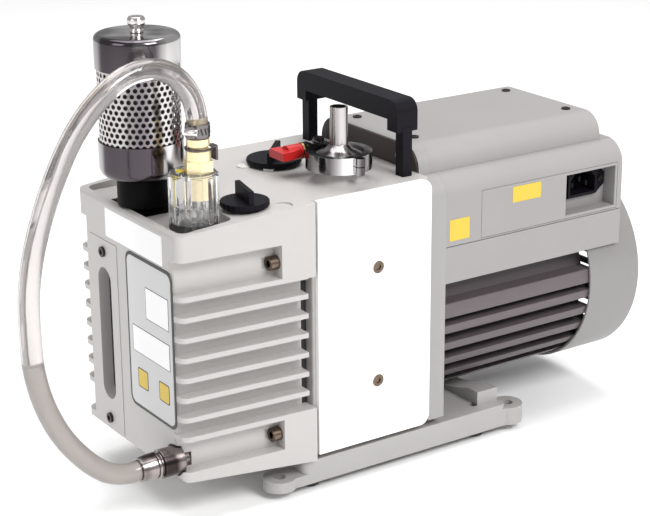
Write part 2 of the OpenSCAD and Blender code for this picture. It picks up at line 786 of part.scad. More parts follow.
// Swing bolt: an eye on its pin, and a threaded shank along -X
module clamp_bolt() {
    color("dimgray") {
        translate([pivot[0], pivot[1], bolt_z - 2.9]) cylinder(r = 4, h = 5.8);
        translate([pivot[0], pivot[1], bolt_z - 6.4]) cylinder(r = 1.5, h = 12.8);
        translate([pivot[0], pivot[1], bolt_z + 5.9]) cylinder(r = 4, h = 1.8);
        translate([pivot[0], pivot[1], bolt_z]) rotate([0, -90, 0]) cylinder(r = 2.8, h = 34);
    }
}

washer_x = lug_x - 0.9;

module clamp_washer() {
    color("goldenrod") translate([washer_x, pivot[1], bolt_z]) rotate([0, -90, 0]) ring(6, 2.85, 1.5);
}

// Wing nut whose two flat wings widen away from the clamp
module clamp_wing_nut() {
    color("red") translate([washer_x - 1.8, pivot[1], bolt_z]) rotate([0, -90, 0]) difference() {
        union() {
            cylinder(r = 5.6, h = 12);
            rotate([90, 0, 90]) translate([0, 0, -2.9]) linear_extrude(5.8)
                polygon([[-5, 2], [5, 2], [9, 12], [9, 20], [-9, 20], [-9, 12]]);
        }
        translate([0, 0, -1]) cylinder(r = 2.85, h = 19.6);
    }
}

// Retractable carrying handle: a thick grip over two flat legs
module handle() {
    grip_half = 64;
    grip_x = 9;
    low = 257.5;
    high = 272;
    bend = 9;
    color("dimgray") {
        difference() {
            across(handle_x - grip_x, handle_x + grip_x) {
                translate([-grip_half + bend, low]) square([2 * (grip_half - bend), high - low]);
                translate([-grip_half, low - 8]) square([2 * grip_half, high - bend - low + 8]);
                for (s = [-1, 1]) translate([s * (grip_half - bend), high - bend]) circle(r = bend);
            }
            block([handle_x - 20, -grip_half + 12, low - 20], [handle_x + 20, grip_half - 12, low]);
        }
        for (s = [-1, 1]) block([handle_x - leg_x / 2, s * leg_y - leg_t / 2, top_z - 22],
                                [handle_x + leg_x / 2, s * leg_y + leg_t / 2, low - 5]);
    }
}

// ---- Vane stages ----

stack = [30, 36, 60, 67, 98, 104];
stator_r = 44;
flat_z = axis_z + 36;
pump_shaft_r = 12;
valve_y = 8;
vane_t = 5;

// Two stators with eccentric bores, flat on top where the exhaust valve sits
module stator_housings() {
    color("gray") for (stage = [1, 3]) difference() {
        along_x([x_end + stack[stage], 0, axis_z])
            cylinder(r = stator_r, h = stack[stage + 1] - stack[stage]);
        along_x([x_end + stack[stage] - 1, 0, axis_z - offset_e]) cylinder(r = bore_r, h = 40);
        block([x_end + stack[stage] - 1, -stator_r, flat_z],
              [x_end + stack[stage + 1] + 1, stator_r, flat_z + 10]);
        translate([x_end + 48, valve_y, axis_z]) cylinder(r = 3, h = 50);
    }
    color("gray") for (y = [-12, 12])
        block([x_end + 40, valve_y + y - 2, flat_z - 1], [x_end + 56, valve_y + y + 2, flat_z + 5]);
}

// Front, middle and rear plates that close the stators and carry the shaft
module stator_plates() {
    color("silver") for (i = [0, 2, 4]) difference() {
        along_x([x_end + stack[i], 0, axis_z])
            cylinder(r = stator_r, h = stack[i + 1] - stack[i]);
        along_x([x_end + stack[i] - 1, 0, axis_z])
            cylinder(r = pump_shaft_r + 0.06, h = 10);
    }
}

module exhaust_valve() {
    color("lightsteelblue") block([x_end + 42, valve_y - 9.5, flat_z + 0.1],
                                [x_end + 54, valve_y + 9.5, flat_z + 0.9]);
}

module vane_slots(t, depth) {
    for (turn = [0, 180]) rotate([0, 0, turn])
        translate([0, -t / 2, -40]) block([depth, 0, 0], [40, t, 120]);
}

// Two rotors on one shaft, each with two slots for its vanes
module rotor() {
    color("silver") {
        for (stage = [1, 3]) along_x([x_end + stack[stage] + 0.3, 0, axis_z]) difference() {
            cylinder(r = rotor_r, h = stack[stage + 1] - stack[stage] - 0.6);
            vane_slots(vane_t + 0.1, 13);
        }
        along_x([x_end + stack[0] + 2, 0, axis_z]) cylinder(r = pump_shaft_r, h = 76);
        along_x([x_end + stack[5], 0, axis_z]) cylinder(r = shaft_r, h = 56);
    }
}

module vanes() {
    color("darkkhaki") for (stage = [1, 3]) along_x([x_end + stack[stage] + 0.5, 0, axis_z])
        for (turn = [0, 180]) rotate([0, 0, turn])
            block([14, -vane_t / 2, 0], [rotor_r - 0.2, vane_t / 2, stack[stage + 1] - stack[stage] - 1]);
}

module shaft_seal() {
    color("black") along_x([body_x + 24, 0, axis_z]) ring(15, shaft_r + 0.06, 9);
}

// Two hubs with claws and a rubber star between them
module drive_coupling() {
    color("slategray") {
        for (x = [x_end + 152, x_end + 176]) along_x([x, 0, axis_z]) ring(24, shaft_r, 15);
        along_x([x_end + 167, 0, axis_z]) difference() {
            cylinder(r = 22, h = 9);
            for (i = [0 : 5]) rotate([0, 0, 60 * i]) translate([20, 0, -1]) cylinder(r = 5, h = 11);
        }
    }
}

// ---- Motor ----

frame_r = 64;
frame_bore_r = 56;
fin_top_z = 112;
frame_x2 = x_end + 362;
stator_x = [x_end + 250, x_end + 325];
rotor_core_r = 44.3;

// Outline of the finned frame, drawn with Y across and Z up
module frame_outline() {
    fin_t = 6.5;
    intersection() {
        translate([0, axis_z]) circle(r = fin_tip_r);
        union() {
            translate([0, axis_z]) circle(r = frame_r);
            translate([-80, fin_top_z - 5.5]) square([160, 11]);
            for (i = [1 : 5])
                translate([-80, fin_top_z - i * rib_pitch - fin_t / 2]) square([160, fin_t]);
            for (i = [-2.5 : 2.5])
                translate([i * rib_pitch - 2, 20]) square([4, 40]);
        }
    }
}

module motor_frame() {
    color("tan") difference() {
        across(motor_x, frame_x2) frame_outline();
        along_x([motor_x - 1, 0, axis_z]) cylinder(r = frame_bore_r, h = frame_x2 - motor_x - 11);
        along_x([motor_x, 0, axis_z]) cylinder(r = bearing_r, h = 200);
    }
}

module motor_bearings() {
    color("silver") for (x = [motor_x - 10, frame_x2 - 12])
        along_x([x, 0, axis_z]) ring(bearing_r, shaft_r + 0.06, 12);
}

// Stack of laminations with the ends of its windings
module motor_stator() {
    bore = rotor_core_r + 0.5;
    color("peru") {
        along_x([stator_x[0], 0, axis_z]) ring(frame_bore_r, bore, stator_x[1] - stator_x[0]);
        for (x = [stator_x[0] - 13, stator_x[1]]) along_x([x, 0, axis_z]) ring(53, bore + 1.5, 13);
    }
}

module motor_rotor() {
    color("silver") {
        along_x([x_end + 177, 0, axis_z]) cylinder(r = shaft_r, h = 213);
        along_x([stator_x[0], 0, axis_z]) cylinder(r = rotor_core_r, h = stator_x[1] - stator_x[0]);
        for (x = [stator_x[0] - 7, stator_x[1]]) along_x([x, 0, axis_z]) cylinder(r = 38, h = 7);
    }
}

module cooling_fan() {
    color("dimgray") along_x([x_end + 366, 0, axis_z]) difference() {
        union() {
            cylinder(r = 15, h = 22);
            cylinder(r = 45, h = 2.5);
            for (i = [0 : 7]) rotate([0, 0, 45 * i]) block([10, -1.2, 0], [68, 1.2, 20]);
        }
        translate([0, 0, -1]) cylinder(r = shaft_r, h = 24);
    }
}

// Pressed cover over the fan, with a grille of slots in its end
module fan_cover() {
    t = 1.6;
    color("lightgray") difference() {
        along_x([cover_x, 0, axis_z]) cylinder(r = cover_r, h = fan_end_x - cover_x);
        along_x([cover_x - 1, 0, axis_z]) cylinder(r = cover_r - t, h = fan_end_x - cover_x + 1 - t);
        for (z = [-5 : 5]) {
            reach = sqrt(62 * 62 - z * z * 100) - 4;
            block([fan_end_x - 4, -reach, axis_z + z * 10 - 2.4], [fan_end_x + 1, -2.5, axis_z + z * 10 + 2.4]);
            block([fan_end_x - 4, 2.5, axis_z + z * 10 - 2.4], [fan_end_x + 1, reach, axis_z + z * 10 + 2.4]);
        }
    }
}

// ---- Terminal box ----

box_z = 134;
seam_z = 161.5;
box_x = [motor_x, x_end + 387];
step_x2 = x_end + 376;
wall_t = 3;
door_x = [x_end + 250, x_end + 382.5];
door_z = [163, 199.5];
recess_x = [x_end + 331, x_end + 380];
recess_z = [165.5, 197];
recess_y = -wide_half + 13;
inlet_x = x_end + 355.5;
inlet_mid_z = 185.2;
inlet_screw = 19.4;
switch_at = [x_end + 300, wide_half - 2.7, 181];
cover_screw_at = [for (x = [x_end + 219, x_end + 364], y = [-36, 36]) [x, y]];

// Lower half of the box, open above and below, that saddles the motor
module terminal_box() {
    color("gainsboro") difference() {
        union() {
            difference() {
                block([box_x[0], -wide_half, box_z], [box_x[1], wide_half, seam_z]);
                block([box_x[0] + wall_t, -wide_half + wall_t, box_z - 1],
                      [box_x[1] - wall_t, wide_half - wall_t, seam_z + 1]);
            }
            block([box_x[0] + wall_t, -60, box_z + 16], [box_x[0] + 2 * wall_t, 60, seam_z + 12]);
            block([box_x[0] + 1, -70, box_z + 16], [box_x[0] + 2 * wall_t, 70, seam_z - 2]);
        }
        along_x([box_x[0] - 1, 0, axis_z]) cylinder(r = frame_r + 0.3, h = 10);
        along_x([box_x[1] - 10, 0, axis_z]) cylinder(r = cover_r + 0.3, h = 12);
    }
}

// Upper half of the box, with a raised top, a doorway and an opening for the switch
module terminal_cover() {
    x1 = x_end + 213;
    color("gainsboro") difference() {
        union() {
            intersection() {
                across(box_x[0], box_x[1]) stepped_outline(seam_z + 0.6, 0);
                block([box_x[0], -half_w, seam_z], [box_x[1], half_w, shoulder_z]);
            }
            intersection() {
                across(x1, step_x2) stepped_outline(seam_z + 0.6, 0);
                block([x1, -step_half, shoulder_z - 4], [step_x2, step_half, step_top]);
            }
        }
        intersection() {
            across(box_x[0] + wall_t, box_x[1] - wall_t) stepped_outline(seam_z - 5, wall_t);
            block([box_x[0], -half_w, seam_z - 6], [box_x[1], half_w, shoulder_z - wall_t]);
        }
        intersection() {
            across(box_x[0] + wall_t, step_x2 - wall_t) stepped_outline(seam_z - 5, wall_t);
            block([x1, -step_half, shoulder_z - 8], [step_x2, step_half, step_top]);
        }
        block([x1 - 1, -half_w, seam_z - 1], [box_x[0] - 0.01, half_w, shoulder_z + 0.1]);
        along_x([box_x[0] - 1, 0, axis_z]) cylinder(r = frame_r + 0.3, h = 10);
        along_x([box_x[1] - 10, 0, axis_z]) cylinder(r = cover_r + 0.3, h = 12);
        block([door_x[0], -wide_half - 1, door_z[0]], [door_x[1], -wide_half + wall_t + 1, door_z[1]]);
        block([switch_at[0] - 11, wide_half - 8, switch_at[2] - 7],
              [switch_at[0] + 11, wide_half + 1, switch_at[2] + 7]);
        for (p = cover_screw_at) translate([p[0], p[1], step_top - 8]) cylinder(r = 1.6, h = 10);
    }
}

// Side door with a recess that holds the mains inlet
module terminal_door() {
    half = 14.8;
    color("gainsboro") difference() {
        union() {
            block([door_x[0] + 0.3, -wide_half, door_z[0] + 0.3],
                  [door_x[1] - 0.3, -wide_half + wall_t, door_z[1] - 0.3]);
            block([recess_x[0] - 1.5, -wide_half + 1, recess_z[0] - 1.5],
                  [recess_x[1] + 1.5, recess_y + 2, recess_z[1] + 1.5]);
        }
        block([recess_x[0], -wide_half - 1, recess_z[0]], [recess_x[1], recess_y, recess_z[1]]);
        block([inlet_x - half, recess_y - 1, inlet_mid_z - 10.5],
              [inlet_x + half, recess_y + 3, inlet_mid_z + 10.5]);
        for (s = [-1, 1]) translate([inlet_x + s * inlet_screw, recess_y + 3, inlet_mid_z])
            rotate([90, 0, 0]) cylinder(r = 1.7, h = 5);
    }
}

// Screws of the box's cover and of the mains inlet's flange
module cover_screws() {
    color("dimgray") {
        for (p = cover_screw_at) translate([p[0], p[1], step_top]) socket_screw(3.4, 1.2, 1.5, 7);
        for (s = [-1, 1]) translate([inlet_x + s * inlet_screw, recess_y - 2, inlet_mid_z])
            rotate([90, 0, 0]) socket_screw(2.8, 1.2, 1.5, 7);
    }
}

// Mains inlet: a flange with tapered ends, and a body with a socket and three pins
module power_inlet() {
    half_x = 23.4;
    half_z = 11.4;
    flat_x = 14.6;
    tip_z = 4.6;
    socket_x = 12.3;
    socket_z = 8.3;
    clip = 5;
    front = recess_y - 4;
    color("black") translate([inlet_x, 0, inlet_mid_z]) {
        difference() {
            union() {
                translate([0, recess_y, 0]) rotate([90, 0, 0]) linear_extrude(2)
                    polygon([[-flat_x, -half_z], [flat_x, -half_z], [half_x, -tip_z], [half_x, tip_z],
                             [flat_x, half_z], [-flat_x, half_z], [-half_x, tip_z], [-half_x, -tip_z]]);
                block([-14.5, front, -10.2], [14.5, recess_y + 14, 10.2]);
            }
            translate([0, recess_y + 11, 0]) rotate([90, 0, 0]) linear_extrude(20)
                polygon([[-socket_x, -socket_z], [socket_x, -socket_z], [socket_x, socket_z - clip],
                         [socket_x - clip, socket_z], [clip - socket_x, socket_z],
                         [-socket_x, socket_z - clip]]);
            for (s = [-1, 1]) translate([s * inlet_screw, recess_y + 1, 0]) rotate([90, 0, 0])
                cylinder(r = 1.7, h = 5);
        }
        for (p = [[-7, -2], [0, 2], [7, -2]])
            block([p[0] - 1, front + 4, p[1] - 2], [p[0] + 1, recess_y + 12, p[1] + 2]);
    }
}

// Rocker on an upright pin, resting with one end pressed in
module power_switch() {
    color("black") translate(switch_at) {
        rotate([0, 0, -10]) block([-9, -5, -6], [9, 3, 6]);
        translate([0, 0, -6.7]) cylinder(r = 1.5, h = 13.4);
    }
}

base_plate();
rubber_feet();
base_bolts();
pump_body();
inlet_valve();
side_panels();
panel_screws();
adaptor_plate();
motor_flange();
oil_box();
oil_box_gasket();
oil_box_bolts();
sight_glass_frame();
sight_glass();
sight_glass_screws();
labels();
drain_coupling();
return_hose();
filler_seal();
filler_plug();
separator_bowl();
bowl_stick();
brass_coupling();
coupling_latch();
hose_clamp();
filter_neck();
filter_cup();
filter_screen();
filter_element();
filter_rod();
filter_lid();
filter_knob();
ballast_knob();
service_plugs();
inlet_tube();
centring_ring();
clamp_ring();
clamp_bolt();
clamp_washer();
clamp_wing_nut();
handle();
stator_housings();
stator_plates();
exhaust_valve();
rotor();
vanes();
shaft_seal();
drive_coupling();
motor_frame();
motor_bearings();
motor_stator();
motor_rotor();
cooling_fan();
fan_cover();
terminal_box();
terminal_cover();
terminal_door();
cover_screws();
power_inlet();
power_switch();
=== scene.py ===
import json
import math

import bmesh
import bpy
from mathutils import Matrix, Vector


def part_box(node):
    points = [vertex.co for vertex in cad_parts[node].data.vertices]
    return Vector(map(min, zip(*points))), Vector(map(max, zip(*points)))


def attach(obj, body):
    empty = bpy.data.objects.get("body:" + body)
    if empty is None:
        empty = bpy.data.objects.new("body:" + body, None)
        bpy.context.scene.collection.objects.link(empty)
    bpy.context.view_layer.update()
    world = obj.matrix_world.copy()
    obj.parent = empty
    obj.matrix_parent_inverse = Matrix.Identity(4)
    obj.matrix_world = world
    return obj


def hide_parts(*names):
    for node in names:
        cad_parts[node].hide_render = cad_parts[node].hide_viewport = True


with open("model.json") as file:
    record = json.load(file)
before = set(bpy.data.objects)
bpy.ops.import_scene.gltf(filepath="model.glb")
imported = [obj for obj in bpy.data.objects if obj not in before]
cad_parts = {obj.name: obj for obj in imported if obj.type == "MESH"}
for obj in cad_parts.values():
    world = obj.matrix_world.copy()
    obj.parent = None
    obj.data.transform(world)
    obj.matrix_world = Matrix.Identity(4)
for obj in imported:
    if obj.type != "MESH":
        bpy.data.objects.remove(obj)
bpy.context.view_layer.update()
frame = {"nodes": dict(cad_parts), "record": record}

# ---- Camera ----
# A long lens that looks down on the oil box's end and on the side with the mains inlet.
YAW = math.radians(33.854)
PITCH = math.radians(18.918)
ROLL = math.radians(-0.397)
SENSOR_MM = 36.0
FOCAL_MM = 98.99
CAMERA_AT = (-0.72387, -1.04118, 0.57287)
ahead = Vector((math.sin(YAW) * math.cos(PITCH), math.cos(YAW) * math.cos(PITCH), -math.sin(PITCH)))
level = Vector((math.cos(YAW), -math.sin(YAW), 0.0))
upward = level.cross(ahead)
right = math.cos(ROLL) * level + math.sin(ROLL) * upward
top = math.cos(ROLL) * upward - math.sin(ROLL) * level
lens = bpy.data.cameras.new("camera")
lens.sensor_width = SENSOR_MM
lens.lens = FOCAL_MM
camera = bpy.data.objects.new("camera", lens)
turn = Matrix((right, top, -ahead)).transposed().to_4x4()
camera.matrix_world = Matrix.Translation(CAMERA_AT) @ turn
bpy.context.collection.objects.link(camera)
bpy.context.scene.camera = camera

# ---- Clear hose with the returned oil in it ----
# Soft clear tube from the drain coupling up to the separator bowl, pushed on at both ends.
# The lower limb stands full of pale oil up to the level in the box.
HOSE_D = 0.0144
HOSE_WALL = 0.0021
HOSE_SIDES = 24
HOSE_STEPS = 5
X_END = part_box("oil_box")[0][0]
hose_from = Vector((0.0, -0.059, 0.0))
hose_to = Vector((0.0, -0.0524, 0.0))
hose_way = [
    (-28, 0, 46), (-38, 0, 46), (-52, 0, 51), (-67, 0.02, 64), (-82, 0.05, 84), (-93, 0.1, 108),
    (-99, 0.16, 134), (-100, 0.23, 160), (-99, 0.3, 186), (-94, 0.37, 212), (-85, 0.45, 238),
    (-74, 0.53, 262), (-60, 0.61, 285), (-42, 0.7, 304), (-22, 0.79, 316), (-2, 0.88, 318),
    (14, 0.95, 311), (25, 1, 297), (29.2, 1, 282), (29.5, 1, 268)
]
hose_points = [
    Vector((X_END + x / 1000, hose_from.lerp(hose_to, share).y, z / 1000)) for x, share, z in hose_way
]


class Amount:
    """A number that changes over a surface. Arithmetic on it adds its Math nodes."""

    def __init__(self, finish, socket):
        self.finish = finish
        self.socket = socket

    def _with(self, operation, first, second):
        return self.finish.add("ShaderNodeMath", {"operation": operation}, {0: first, 1: second})

    def __add__(self, other):
        return self._with("ADD", self, other)

    def __mul__(self, other):
        return self._with("MULTIPLY", self, other)

    def __pow__(self, other):
        return self._with("POWER", self, other)


class Finish:
    """A material with one Principled shader, and a way to add nodes to it."""

    def __init__(self, name, **constants):
        self.material = bpy.data.materials.new(name)
        self.material.use_nodes = True
        self.nodes = self.material.node_tree.nodes
        self.links = self.material.node_tree.links
        self.shader = self.nodes["Principled BSDF"]
        for socket, value in constants.items():
            self.shader.inputs[socket.replace("_", " ")].default_value = value

    def add(self, kind, settings, inputs, output=0):
        node = self.nodes.new(kind)
        for key, value in settings.items():
            if key == "stops":
                for stop, (place, shade) in zip(node.color_ramp.elements, value):
                    stop.position = place
                    stop.color = (shade, shade, shade, 1.0)
            else:
                setattr(node, key, value)
        for key, value in inputs.items():
            self.give(node.inputs[key], value)
        return Amount(self, node.outputs[output])

    def give(self, socket, value):
        if isinstance(value, Amount):
            self.links.new(value.socket, socket)
        else:
            socket.default_value = value

    def feed(self, **values):
        for socket, value in values.items():
            self.give(self.shader.inputs[socket.replace("_", " ")], value)

    def place(self, stretch=(1.0, 1.0, 1.0)):
        """Object coordinates, centred on the pump and stretched."""
        spot = self.add("ShaderNodeTexCoord", {}, {}, "Object")
        return self.add("ShaderNodeMapping", {}, {"Vector": spot, "Scale": stretch})

    def noise(self, scale, detail=3.0, stretch=(1.0, 1.0, 1.0)):
        return self.add(
            "ShaderNodeTexNoise", {}, {"Vector": self.place(stretch), "Scale": scale, "Detail": detail}
        )

    def mix(self, share, first, second):
        """A colour between two colours."""
        node = self.nodes.new("ShaderNodeMix")
        node.data_type = "RGBA"
        self.give(node.inputs[0], share)
        self.give(node.inputs[6], first)
        self.give(node.inputs[7], second)
        return Amount(self, node.outputs[2])

    def bump(self, height, distance):
        raised = self.add("ShaderNodeBump", {}, {"Height": height, "Distance": distance})
        self.feed(Normal=raised)


def shade(colour, times=1.0):
    return tuple(min(1.0, part * times) for part in colour) + (1.0,)


def uneven(name, colour, rough, spread=0.08, grain=1500.0, depth=0.00003, drift=0.05, **constants):
    """A finish whose colour and gloss drift a little, with a fine grain."""
    made = Finish(name, **constants)
    cloud = made.noise(14.0)
    made.feed(
        Base_Color=made.mix(cloud, shade(colour, 1.0 - drift), shade(colour, 1.0 + drift)),
        Roughness=cloud * spread + (rough - spread / 2),
    )
    if depth:
        made.bump(made.noise(grain, 2.0), depth)
    return made.material


def finish_mesh(bm, name, material, sharp=32.0):
    """Makes the object from a bmesh: smooth faces, with creases where it turns sharply."""
    limit = math.radians(sharp)
    for face in bm.faces:
        face.smooth = True
    for edge in bm.edges:
        edge.smooth = len(edge.link_faces) != 2 or edge.calc_face_angle(0.0) < limit
    mesh = bpy.data.meshes.new(name)
    bm.to_mesh(mesh)
    bm.free()
    mesh.materials.append(material)
    piece = bpy.data.objects.new(name, mesh)
    bpy.context.collection.objects.link(piece)
    return piece


def smooth_way(points, steps):
    """Points along a smooth curve through the given ones."""
    way = []
    last = len(points) - 1
    for i in range(last):
        before, a = points[max(i - 1, 0)], points[i]
        b, after = points[i + 1], points[min(i + 2, last)]
        for k in range(steps):
            t = k / steps
            way.append(
                0.5 * (2 * a + (b - before) * t + (2 * before - 5 * a + 4 * b - after) * t**2
                       + (3 * a - before - 3 * b + after) * t**3)
            )
    return way + [points[last]]


def swept(bm, way, radius, sides, first, last):
    """Extrudes a circle along a way, square to it, and returns the two end loops of edges."""
    ends = [first] + [way[i + 1] - way[i - 1] for i in range(1, len(way) - 1)] + [last]
    ring = bmesh.ops.create_circle(bm, segments=sides, radius=radius)["verts"]
    loop = list({edge for vert in ring for edge in vert.link_edges})
    start = loop
    across = Vector((0.0, 1.0, 0.0))
    flat = [vert.co.copy() for vert in ring]
    for i, spot in enumerate(way):
        if i:
            grown = bmesh.ops.extrude_edge_only(bm, edges=loop)["geom"]
            ring_map = [part for part in grown if isinstance(part, bmesh.types.BMVert)]
            loop = [part for part in grown if isinstance(part, bmesh.types.BMEdge)
                    and all(vert in ring_map for vert in part.verts)]
            ring = [next(other for edge in vert.link_edges for other in edge.verts
                         if other in ring_map) for vert in ring]
        along = ends[i].normalized()
        side = (across - along * across.dot(along)).normalized()
        other = along.cross(side)
        for vert, mark in zip(ring, flat):
            vert.co = spot + mark.x * side + mark.y * other
    return start, loop


def clear(name, middle, edge, haze, **constants):
    """A clear finish with painted shade: it darkens where it is seen edge on, standing in for the dark
    edges that refraction shows, with a little haze in it.
    """
    made = Finish(name, **constants)
    rim = made.add("ShaderNodeLayerWeight", {}, {"Blend": 0.35}, "Facing")
    made.feed(
        Base_Color=made.mix(rim ** 2.2, shade(middle), shade(edge)),
        Roughness=made.noise(60.0) * haze + 0.02,
    )
    return made.material


# The hose's edges take a painted shade where the tube is seen edge on.
clear_hose = clear(
    "soft clear hose", (0.86, 0.835, 0.83), (0.06, 0.05, 0.054), 0.08, IOR=1.38,
    Transmission_Weight=0.95
)
hose_curve = smooth_way(hose_points, HOSE_STEPS)
left, down = Vector((-1.0, 0.0, 0.0)), Vector((0.0, 0.0, -1.0))
bm = bmesh.new()
outer_start, outer_end = swept(bm, hose_curve, HOSE_D / 2, HOSE_SIDES, left, down)
inner_start, inner_end = swept(bm, hose_curve, HOSE_D / 2 - HOSE_WALL, HOSE_SIDES, left, down)
bmesh.ops.bridge_loops(bm, edges=outer_start + inner_start)
bmesh.ops.bridge_loops(bm, edges=outer_end + inner_end)
bmesh.ops.recalc_face_normals(bm, faces=bm.faces)
hose = finish_mesh(bm, "return_hose_tube", clear_hose)
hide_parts("return_hose")
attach(hose, "pump")

OIL_LEVEL = 0.140
OIL_GAP = 0.0002
pale_oil = uneven("pale oil", (0.95, 0.91, 0.86), 0.25, depth=0.0)
oil_way = [spot for spot in hose_curve[: len(hose_curve) // 2] if spot.z < OIL_LEVEL]
bm = bmesh.new()
oil_r = HOSE_D / 2 - HOSE_WALL - OIL_GAP
oil_ends = swept(bm, oil_way, oil_r, HOSE_SIDES, left, oil_way[-1] - oil_way[-2])
for ring_edges in oil_ends:
    bmesh.ops.edgeloop_fill(bm, edges=ring_edges)
bmesh.ops.recalc_face_normals(bm, faces=bm.faces)
hose_oil = finish_mesh(bm, "oil_in_hose", pale_oil)
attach(hose_oil, "pump")
hose_length = sum((b - a).length for a, b in zip(hose_curve, hose_curve[1:]))

# ---- Oil box ----
# The oil box is an aluminium casting painted warm light grey, with cooling ribs down both sides.
# Four long screws pull its open end against the pump body.
slot_names = {part["node"]: part["material_slot"] for part in frame["record"]["subparts"]}
body_names = {
    node: body for body, nodes in frame["record"]["behaviour"]["bodies"].items() for node in nodes
}
MERGE_WITHIN = 0.00001
FLAT_WITHIN = math.radians(0.6)
CORNER = math.radians(28.0)


def eased(node, name, material, ease, steps=2, sharp=32.0):
    """The node's own shape with its sharp edges rounded, standing for that node."""
    bm = bmesh.new()
    bm.from_mesh(frame["nodes"][node].data)
    bmesh.ops.remove_doubles(bm, verts=bm.verts, dist=MERGE_WITHIN)
    bmesh.ops.dissolve_limit(
        bm, angle_limit=FLAT_WITHIN, verts=bm.verts, edges=bm.edges, use_dissolve_boundaries=False
    )
    if ease:
        edges = [edge for edge in bm.edges if len(edge.link_faces) == 2
                 and edge.calc_face_angle(0.0) > CORNER]
        bmesh.ops.bevel(
            bm, geom=edges, offset=ease, offset_type="OFFSET", segments=steps, profile=0.5,
            affect="EDGES", clamp_overlap=True, material=-1
        )
    piece = finish_mesh(bm, name, material, sharp)
    if ease:
        even = piece.modifiers.new("even shading", "WEIGHTED_NORMAL")
        even.keep_sharp = True
    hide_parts(node)
    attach(piece, body_names[node])
    return piece


cast_grey = uneven("warm light grey paint", (0.45, 0.435, 0.424), 0.36, grain=900.0, depth=0.00006)
eased("oil_box", "oil_box_casting", cast_grey, 0.0012)

# ---- Pump body ----
# One aluminium casting holds the stages and carries the flared inlet boss on its top.
# It is painted like the oil box and bolted down to the base.
eased("pump_body", "pump_body_casting", cast_grey, 0.0008)

# ---- Base ----
# A flat cast base with bench ears at its corners and a cradle wall under the motor.
# It is painted with the castings and stands on four rubber feet.
base_grey = uneven("grey base paint", (0.37, 0.36, 0.352), 0.42, grain=900.0, depth=0.00006)
eased("base_plate", "base_casting", base_grey, 0.0012)

# ---- Side panels ----
# Flat steel plates painted bright white, one on each side of the body.
# Each is held by two socket screws sunk flush.
panel_white = uneven("bright white paint", (0.92, 0.92, 0.92), 0.3, grain=1200.0, drift=0.01)
eased("side_panels", "side_panel_pair", panel_white, 0.0009)

# ---- Adaptor plate and motor flange ----
# A sheet with a dark brown coating behind the handle, and the cast flange that carries the motor.
# Two screws above the body hold both.
dark_coat = uneven("dark brown coating", (0.040, 0.024, 0.024), 0.42)
eased("adaptor_plate", "adaptor_sheet", dark_coat, 0.0002)
flange_grey = uneven("light grey paint", (0.30, 0.292, 0.288), 0.4, depth=0.00005)
eased("motor_flange", "motor_end_flange", flange_grey, 0.0012)

# ---- Terminal box ----
# Two grained grey mouldings saddle the motor, with a door in the side and a raised top.
# Four small screws close the top.
moulded_grey = uneven("grained grey moulding", (0.285, 0.274, 0.272), 0.5, grain=2500.0, depth=0.00005)
eased("terminal_box", "terminal_box_lower", moulded_grey, 0.0006)
eased("terminal_cover", "terminal_box_upper", moulded_grey, 0.0006)
eased("terminal_door", "terminal_box_door", moulded_grey, 0.0004)

# ---- Motor frame ----
# A finned aluminium extrusion, painted a greyish beige that looks dark between the fins.
# It is spigoted into the flange at one end and carries a bearing at the other.
frame_beige = uneven("greyish beige paint", (0.105, 0.086, 0.092), 0.42, depth=0.00005)
eased("motor_frame", "finned_motor_frame", frame_beige, 0.0008)

# ---- Fan cover and fan ----
# A pressed steel cover with a slotted end, over a moulded fan on the motor's shaft.
# The cover is enamelled grey and pushed over the frame's end.
cover_grey = uneven("grey enamel", (0.232, 0.224, 0.222), 0.38, depth=0.00002)
eased("fan_cover", "pressed_fan_cover", cover_grey, 0.0006)
fan_black = uneven("black fan moulding", (0.02, 0.02, 0.02), 0.5)
eased("cooling_fan", "moulded_fan", fan_black, 0.0)

# ---- Handle ----
# A thick black moulded grip with round ends on two flat legs.
# The legs slide down into pockets in the body.
knob_black = uneven(
    "black plastic", (0.007, 0.006, 0.009), 0.46, grain=2500.0, depth=0.00005, Specular_IOR_Level=0.1
)
eased("handle", "carry_handle", knob_black, 0.0024, steps=3)

# ---- Knobs, mains inlet and switch ----
# Black mouldings: two discs with an upright bar, the flanged mains inlet and the rocker.
# The discs turn by hand, and the inlet is held by two screws.
eased("ballast_knob", "ballast_knob_disc", knob_black, 0.0007)
eased("filler_plug", "filler_plug_disc", knob_black, 0.0007)
eased("power_inlet", "mains_inlet_socket", knob_black, 0.0005)
eased("power_switch", "rocker_switch", knob_black, 0.0006)


GRIP_R = 0.0009
GRIP_INSET = 0.0005


def rim_ridges(name, node, body, count, low, high, material):
    """Small upright grips round the edge of a knob's disc."""
    first, last = (Vector(corner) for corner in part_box(node))
    middle = (first + last) / 2
    reach = (last.x - first.x) / 2
    bm = bmesh.new()
    for k in range(count):
        spin = Matrix.Rotation(2 * math.pi * k / count, 4, "Z")
        place = Matrix.Translation((middle.x, middle.y, (low + high) / 2)) @ spin
        place = place @ Matrix.Translation((reach - GRIP_INSET, 0.0, 0.0))
        bmesh.ops.create_cone(
            bm, cap_ends=True, segments=8, radius1=GRIP_R, radius2=GRIP_R, depth=high - low,
            matrix=place
        )
    piece = finish_mesh(bm, name, material)
    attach(piece, body)


BODY_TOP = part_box("side_panels")[1][2]
rim_ridges("ballast_rim_grips", "ballast_knob", "ballast", 36, BODY_TOP + 0.0024, BODY_TOP + 0.0049,
           knob_black)
rim_ridges("filler_rim_grips", "filler_plug", "filler", 30, BODY_TOP - 0.0009, BODY_TOP + 0.0022,
           knob_black)

# ---- Filter neck ----
# A wide black moulded collar that stands in the box's pocket and carries the mist filter.
# Its thread screws into the oil box. Its near-black colour and the black plate round it in the pocket
# are partly painted shadow, for the shade that falls round the neck.
neck_black_and_painted_shadow = uneven("black neck moulding", (0.003, 0.003, 0.003), 0.5, Specular_IOR_Level=0.05)
eased("filter_neck", "filter_neck_collar", neck_black_and_painted_shadow, 0.0006)


